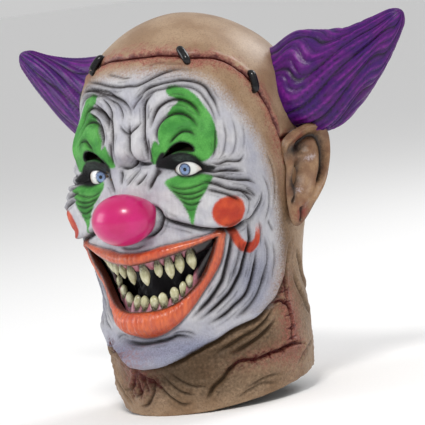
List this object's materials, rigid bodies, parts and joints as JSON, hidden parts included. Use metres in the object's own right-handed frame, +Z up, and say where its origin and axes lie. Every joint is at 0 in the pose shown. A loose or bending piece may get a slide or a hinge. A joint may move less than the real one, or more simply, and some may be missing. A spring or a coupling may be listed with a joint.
{
  "type": "full-head costume mask",
  "caption": "Hollow latex overhead mask of a grinning clown, worn over the whole head, with a stapled scalp seam, hair tufts and see-through slots above its eyes.",
  "frame": {"origin": "centre of the neck opening", "axes": "+Z up, the face looks along -Y, +X is the wearer's left"},
  "size_m": [0.4122, 0.2419, 0.338],
  "materials": {
    "face_latex": "painted latex, satin, white greasepaint fading to tan",
    "scalp_latex": "painted latex, satin, tan",
    "ear_latex": "painted latex, tan with a dark wash",
    "tuft_latex": "painted latex, purple with magenta highlights",
    "tuft_foam": "soft open foam",
    "nose_latex": "glossy magenta coat over latex",
    "eye_white": "polished",
    "iris": "printed disc, satin",
    "cornea": "clear polished acrylic",
    "inner_latex": "unpainted latex",
    "mouth_latex": "glossy black coat over latex",
    "gum_latex": "glossy pink coat over latex",
    "tooth": "stained ivory, satin",
    "staple": "glossy black"
  },
  "bodies": {
    "root": {"head_skin": "face_latex", "scalp_cap": "scalp_latex", "ear_left": "ear_latex", "ear_right": "ear_latex", "hair_tuft_left": "tuft_latex", "hair_tuft_right": "tuft_latex", "tuft_foam_left": "tuft_foam", "tuft_foam_right": "tuft_foam", "nose_ball": "nose_latex", "eyeball_left": "eye_white", "eyeball_right": "eye_white", "iris_left": "iris", "iris_right": "iris", "cornea_left": "cornea", "cornea_right": "cornea", "eye_cup_left": "inner_latex", "eye_cup_right": "inner_latex", "mouth_lining": "mouth_latex", "upper_gum": "gum_latex", "lower_gum": "gum_latex", "upper_teeth": "tooth", "lower_teeth": "tooth", "scalp_staples": "staple"}
  },
  "joints": []
}
